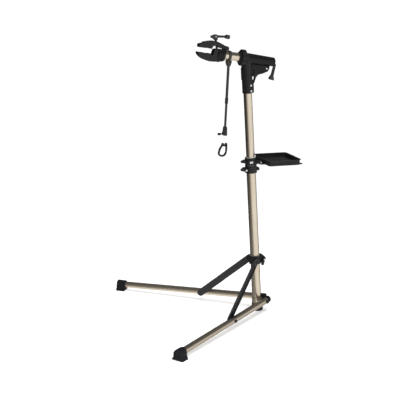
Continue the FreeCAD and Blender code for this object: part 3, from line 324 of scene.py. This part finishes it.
def piece(name, bm, finish, body, nodes, bevel=0.0, smooth=40):
    """Makes a mesh an object, sharp where it turns by more than smooth degrees, and ties it to the frame."""
    bmesh.ops.recalc_face_normals(bm, faces=bm.faces)
    mesh = bpy.data.meshes.new(name)
    bm.to_mesh(mesh)
    bm.free()
    mesh.polygons.foreach_set("use_smooth", [True] * len(mesh.polygons))
    mesh.set_sharp_from_angle(angle=math.radians(smooth))
    thing = bpy.data.objects.new(name, mesh)
    bpy.context.scene.collection.objects.link(thing)
    mesh.materials.append(finish.owner)
    if bevel:
        rounding = thing.modifiers.new("rounding", "BEVEL")
        rounding.width = bevel
        rounding.segments = 3
        rounding.limit_method = "ANGLE"
        rounding.angle_limit = math.radians(smooth)
    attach(thing, body)
    if nodes:
        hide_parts(*nodes)
    return thing


def skin(bm, loops):
    """Covers loops of points, one after the other, and closes both ends."""
    for one, two in zip(loops, loops[1:]):
        for k in range(len(one)):
            n = (k + 1) % len(one)
            bm.faces.new((one[k], one[n], two[n], two[k]))
    bm.faces.new(loops[0])
    bm.faces.new(loops[-1])
    return bm


def lathe(profile, place, steps, flutes=0, depth=0.0):
    """Turns a profile of (height, radius) about z, closed at both ends; flutes hollow the outer radius."""
    bm = bmesh.new()
    loops = []
    for height, radius in profile:
        loop = []
        for k in range(steps):
            a = math.tau * k / steps
            r = radius - depth * (0.5 + 0.5 * math.cos(flutes * a)) if flutes else radius
            loop.append(bm.verts.new(place @ Vector((r * math.cos(a), r * math.sin(a), height))))
        loops.append(loop)
    return skin(bm, loops)


BOOT_WALL, BOOT_GROOVE = 0.0243, 0.0236
mast = frame_at((0, 0, 0), (mast_up.z, 0, -mast_up.x), mast_up)
boot_profile = [(0.0, 0.0265), (0.003, 0.0272), (0.010, 0.0262), (0.014, BOOT_WALL)]
for k in range(3):
    low = 0.0155 + 0.0055 * k
    boot_profile += [(low, BOOT_WALL), (low + 0.001, BOOT_GROOVE), (low + 0.002, BOOT_GROOVE),
                     (low + 0.003, BOOT_WALL)]
boot_profile += [(0.032, BOOT_WALL), (0.0336, BOOT_GROOVE), (0.034, 0.0222), (0.034, 0.0212)]
boot = lathe(boot_profile, mast, 72)
for vert in boot.verts:
    vert.co.z = max(vert.co.z, 0.0)
piece("mast_boot", boot, rubber, "base", ["mast_foot_cap"], smooth=50)


# The leg feet: moulded rubber blocks, arched over the tube, on a wider sole with notches along its edges for
# grip. The tube is pushed into a blind hole.
FOOT_LENGTH, FOOT_HALF, ARCH = 0.042, 0.028, 0.021
SOLE_NOTCH, SOLE_PITCH = 0.0022, 0.0062


def foot_outline(grow, sole_in):
    """Across the foot, from one side of the sole over the arch to the other."""
    line = [(-FOOT_HALF + sole_in, 0.0), (-FOOT_HALF + sole_in, 0.004), (-FOOT_HALF + 0.002, 0.0065)]
    line += [(-ARCH - 0.0005, 0.0125)]
    for k in range(17):
        a = math.pi * (1 - k / 16)
        line.append((ARCH * math.cos(a), FOOT_AXIS + ARCH * math.sin(a)))
    line += [(-x, z) for x, z in reversed(line[:4])]
    return [(x * grow, z if z < 0.001 else FOOT_AXIS + (z - FOOT_AXIS) * grow) for x, z in line]


for side in ("left", "right"):
    outward = Vector((leg_along[side].x, leg_along[side].y, 0))
    place = frame_at(feet[side], outward, (0, 0, 1))
    half = FOOT_LENGTH / 2
    slices = [(-half, 0.93, 0.002), (-half + 0.0012, 0.975, 0.001), (-half + 0.003, 1.0, 0.0)]
    x = -half + 0.0055
    while x < half - 0.007:
        slices += [(x, 1.0, 0.0), (x + 0.0007, 1.0, SOLE_NOTCH), (x + 0.0022, 1.0, SOLE_NOTCH),
                   (x + 0.0029, 1.0, 0.0)]
        x += SOLE_PITCH
    slices += [(half - 0.003, 1.0, 0.0), (half - 0.0012, 0.975, 0.001), (half, 0.93, 0.002)]
    bm = bmesh.new()
    loops = []
    for x, grow, sole_in in slices:
        loops.append([bm.verts.new(place @ Vector((x, y, z))) for y, z in foot_outline(grow, sole_in)])
    piece("leg_foot_rubber_" + side, skin(bm, loops), rubber, "leg_" + side, ["leg_foot_" + side],
          smooth=35)

# The leg end caps: nylon, pushed over the back end of each tube, with a domed end and a raised band at the
# mouth.
CAP_RADIUS, CAP_MOUTH, CAP_END, CAP_DOME, BAND_STEP = 0.0164, 0.011, 0.0364, 0.007, 0.0006
for side in ("left", "right"):
    place = frame_at(hips[side], mast_up, -leg_along[side])
    profile = [(CAP_MOUTH, CAP_RADIUS - 0.001), (CAP_MOUTH + 0.0004, CAP_RADIUS),
               (CAP_MOUTH + 0.004, CAP_RADIUS), (CAP_MOUTH + 0.0046, CAP_RADIUS - BAND_STEP)]
    for k in range(9):
        a = math.radians(90 * k / 8)
        profile.append((CAP_END - CAP_DOME * (1 - math.sin(a)),
                        CAP_RADIUS - BAND_STEP - CAP_DOME * (1 - math.cos(a))))
    bm = lathe(profile, place, 56)
    piece("leg_cap_" + side, bm, nylon, "leg_" + side, ["leg_end_cap_" + side], smooth=45)


# The jaw pads: soft rubber blocks keyed into both jaws, with fine cross teeth on the gripping face and a
# round groove for the tube.
PAD_FRONT, PAD_BACK, PAD_HALF, PAD_THICK = -0.229, -0.170, 0.017, 0.006
MOUTH_FLOOR, MOUTH_ROOF = -0.0005, 0.020
GROOVE_X, GROOVE_R = -0.190, 0.0125
TOOTH_PITCH, TOOTH_DEPTH = 0.0018, 0.0007
arm = frame_at(joints["arm_turn"]["pos_m"], -arm_along, (0, 0, 1))


def prism(outline, place, y0, y1):
    """An (x, z) outline, filled and pushed from y0 to y1."""
    bm = bmesh.new()
    near = [bm.verts.new(place @ Vector((x, y0, z))) for x, z in outline]
    far = [bm.verts.new(place @ Vector((x, y1, z))) for x, z in outline]
    bm.faces.new(near)
    bm.faces.new(list(reversed(far)))
    for k in range(len(outline)):
        n = (k + 1) % len(outline)
        bm.faces.new((near[n], near[k], far[k], far[n]))
    return bm


def pad_outline(face, root):
    """Teeth along the face, dipping into the groove, and a flat root."""
    out = 1 if face > root else -1
    middle = (MOUTH_FLOOR + MOUTH_ROOF) / 2
    line = []
    for k in range(2 * int((PAD_BACK - PAD_FRONT) / TOOTH_PITCH) + 1):
        x = PAD_FRONT + 0.5 * TOOTH_PITCH * k
        across = GROOVE_R ** 2 - (x - GROOVE_X) ** 2
        depth = max(0.0, math.sqrt(across) - abs(face - middle)) if across > 0 else 0.0
        line.append((x, face - out * (depth + (TOOTH_DEPTH if k % 2 else 0.0))))
    return line + [(PAD_BACK, root), (PAD_FRONT, root)]


for name, face, root, body in (("lower_jaw_pad", MOUTH_FLOOR, MOUTH_FLOOR - PAD_THICK, "arm"),
                               ("upper_jaw_pad", MOUTH_ROOF, MOUTH_ROOF + PAD_THICK, "upper_jaw")):
    bm = prism(pad_outline(face, root), arm, -PAD_HALF, PAD_HALF)
    piece(name + "_toothed", bm, rubber, body, [name], smooth=25)


# The strap: a loop of moulded rubber that goes round a handlebar, with two prongs at its top, a rounded
# section and notches down one side for the other end's tooth.
STRAP_TOP, STRAP_HALF, STRAP_STEPS, STRAP_SIDES = -0.383, 0.0045, 240, 16
NOTCH_PITCH, NOTCH_DEPTH = 0.007, 0.0007
rod_down = joints["rod_length"]["axis"]
rod = frame_at(joints["rod_swing"]["pos_m"], (-rod_down[2], 0, rod_down[0]), (0, 0, 1))
strap_outer = [(-11, 0), (-3, 0), (-1, -8), (3, -8), (4, 0), (13, 0), (15, -14), (15, -30), (13, -46),
               (7, -57), (-3, -62), (-15, -62), (-26, -54), (-28, -46), (-25, -30), (-18, -16), (-13, -8)]
strap_inner = [(-8, -15), (4, -15), (7, -22), (7, -40), (3, -50), (-4, -54), (-13, -54), (-19, -49),
               (-20, -44), (-17, -31), (-11, -20)]


def eased(points, per):
    """A closed smooth line, in metres, that keeps close to each corner of points in millimetres."""
    line = []
    for k in range(len(points)):
        a, b, c = (Vector(points[(k + n) % len(points)]) for n in (-1, 0, 1))
        before, after = b.lerp(a, 0.32), b.lerp(c, 0.32)
        for n in range(per):
            t = n / (per - 1)
            line.append((before.lerp(b, t)).lerp(b.lerp(after, t), t) / 1000)
    return line


def at_angle(line, angle, centre):
    """Where a ray from the centre last crosses a closed line."""
    ray = Vector((math.cos(angle), math.sin(angle)))
    best = 0.0
    for one, two in zip(line, line[1:] + line[:1]):
        edge, start = two - one, one - centre
        turn = ray.x * edge.y - ray.y * edge.x
        if abs(turn) > 1e-12:
            reach = (start.x * edge.y - start.y * edge.x) / turn
            share = (start.x * ray.y - start.y * ray.x) / turn
            if 0 <= share <= 1:
                best = max(best, reach)
    return centre + ray * best


centre = Vector((-0.006, -0.034))
outer_line, inner_line = eased(strap_outer, 5), eased(strap_inner, 5)
bm = bmesh.new()
loops = []
for k in range(STRAP_STEPS):
    angle = math.tau * k / STRAP_STEPS
    out, hole = at_angle(outer_line, angle, centre), at_angle(inner_line, angle, centre)
    notched = out.x > 0.012 and -0.045 < out.y < -0.015
    notch = NOTCH_DEPTH * max(0.0, math.cos(out.y * math.tau / NOTCH_PITCH)) if notched else 0.0
    out = out - (out - centre).normalized() * notch
    loop = []
    for n in range(STRAP_SIDES):
        a = math.tau * n / STRAP_SIDES
        u = max(-1.0, min(1.0, 1.25 * math.cos(a)))
        v = max(-1.0, min(1.0, 1.25 * math.sin(a)))
        spot = hole.lerp(out, 0.5 + 0.5 * u)
        loop.append(bm.verts.new(rod @ Vector((spot.x, STRAP_HALF * v, STRAP_TOP + spot.y))))
    loops.append(loop)
for one, two in zip(loops, loops[1:] + loops[:1]):
    for k in range(STRAP_SIDES):
        n = (k + 1) % STRAP_SIDES
        bm.faces.new((one[k], one[n], two[n], two[k]))
piece("handlebar_strap", bm, rubber, "rod_slide", ["strap"], smooth=60)


# The tool tray: a sheet of black plastic, pressed hot over a mould, with upright walls, a rolled rim, ribs
# raised in its floor to stiffen it and a tab to hang it by. Its rim is rubbed brighter.
LIP, SHEET, TAB, CORNER, CORNER_STEPS = 0.005, 0.0016, 0.020, 0.012, 8
ROLL, ROLL_STEPS = 0.0024, 8
TAB_FRONT, TAB_BACK, TAB_ROUND, TAB_ROUND_STEPS = 0.012, 0.046, 0.008, 6
RIBS, RIB_START, RIB_FIRST, RIB_PITCH, RIB_HALF, RIB_RISE = 4, 0.03, 0.03, 0.035, 0.004, 0.0014
tray_sheet = black("black_pressed_sheet", (0.0105, 0.0105, 0.011), 0.40, 1200, 0.00005, 0.0008, 3.2)
low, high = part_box("tray_dish")
tray_x0, tray_x1 = low.x + LIP, high.x - TAB
tray_y0, tray_y1 = low.y + LIP, high.y - LIP
tray_floor, tray_top = low.z, high.z


def pan_loop(bm, grow, z):
    """A rounded rectangle round the tray, grown by an amount."""
    radius = CORNER + grow
    left, right = tray_x0 + CORNER, tray_x1 - CORNER
    front, back = tray_y0 + CORNER, tray_y1 - CORNER
    loop = []
    for k, (cx, cy) in enumerate(((right, back), (left, back), (left, front), (right, front))):
        for n in range(CORNER_STEPS + 1):
            a = math.pi / 2 * (k + n / CORNER_STEPS)
            loop.append(bm.verts.new((cx + radius * math.cos(a), cy + radius * math.sin(a), z)))
    return loop


def tab_corner(cy, quarter):
    """A round corner at the tab's outer end, which starts so many quarter turns from x."""
    turns = [math.pi / 2 * (quarter + n / TAB_ROUND_STEPS) for n in range(TAB_ROUND_STEPS + 1)]
    return [(high.x - TAB_ROUND + TAB_ROUND * math.cos(a), cy + TAB_ROUND * math.sin(a)) for a in turns]


bm = bmesh.new()
steps = [(-0.0035, tray_floor), (-0.0008, tray_floor + 0.0012), (0.0, tray_floor + 0.004),
         (0.0, tray_top - 0.0045)]
for k in range(ROLL_STEPS + 1):
    a = math.radians(-60 + 240 * k / ROLL_STEPS)
    steps.append((0.0026 + ROLL * math.sin(a - math.pi / 6), tray_top - ROLL + ROLL * math.sin(a)))
steps += [(-SHEET, tray_top - 0.0035), (-SHEET, tray_floor + 0.005), (-0.0026, tray_floor + 0.0026),
          (-0.005, tray_floor + SHEET)]
skin(bm, [pan_loop(bm, grow, z) for grow, z in steps])
root, tab_front, tab_back = tray_x1 - CORNER, tray_y0 + TAB_FRONT, tray_y0 + TAB_BACK
tab = tab_corner(tab_back - TAB_ROUND, 0) + [(root, tab_back), (root, tab_front)]
tab += tab_corner(tab_front + TAB_ROUND, 3)
skin(bm, [[bm.verts.new((x, y, z)) for x, y in tab] for z in (tray_floor + 0.0001, tray_floor + SHEET)])
piece("pressed_tray", bm, tray_sheet, "tray", ["tray_dish"], smooth=40)

for k in range(RIBS):
    y = tray_y0 + RIB_FIRST + RIB_PITCH * k
    rib = [(RIB_HALF * math.cos(a), RIB_RISE * math.sin(a)) for a in (math.pi * n / 12 for n in range(13))]
    bm = bmesh.new()
    loops = []
    for x, share in ((0.0, 0.05), (0.003, 0.7), (0.007, 1.0), (0.095, 1.0), (0.099, 0.7), (0.102, 0.05)):
        loops.append([bm.verts.new((tray_x0 + RIB_START + x, y + u * share,
                                    tray_floor + SHEET - 0.0002 + w * share)) for u, w in rib])
    for one, two in zip(loops, loops[1:]):
        for n in range(len(rib) - 1):
            bm.faces.new((one[n], one[n + 1], two[n + 1], two[n]))
    piece("tray_rib_%d" % (k + 1), bm, tray_sheet, "tray", [], smooth=60)

# The tray's thumb screw: a moulded nylon grip with six flutes that tapers outwards, on a plain shank. It is
# turned by hand to lock the tray's collar on the mast.
SHANK, GRIP_FOOT, FLUTES, FLUTE_DEPTH = 0.0034, 0.0046, 6, 0.0012
knob = frame_at(joints["tray_knob_turn"]["pos_m"], (0, 1, 0), joints["tray_knob_turn"]["axis"])
profile = [(-0.0055, SHANK), (GRIP_FOOT, SHANK), (GRIP_FOOT, 0.0088), (0.0052, 0.0094), (0.0080, 0.0090),
           (0.0160, 0.0064), (0.0205, 0.0050), (0.0214, 0.0042), (0.0215, 0.0020)]
piece("tray_thumb_screw", lathe(profile, knob, 72, FLUTES, FLUTE_DEPTH), nylon, "tray_knob",
      ["tray_knob"], smooth=45)

# The collar's thrust plate: a small rectangle of bright zinc-plated strip with eased edges, set flat in the
# tray collar's side.
PLATE_X, PLATE_Y, PLATE_UP = -0.007, -0.0268, 0.7145
PLATE_HALF, PLATE_RISE = 0.008, 0.005
place = mast @ Matrix.Translation((PLATE_X, PLATE_Y, PLATE_UP))
bm = prism([(-PLATE_HALF, -PLATE_RISE), (PLATE_HALF, -PLATE_RISE), (PLATE_HALF, PLATE_RISE),
            (-PLATE_HALF, PLATE_RISE)], place, -0.0006, 0.0012)
piece("collar_plate", bm, zinc, "tray", [], bevel=0.0005)
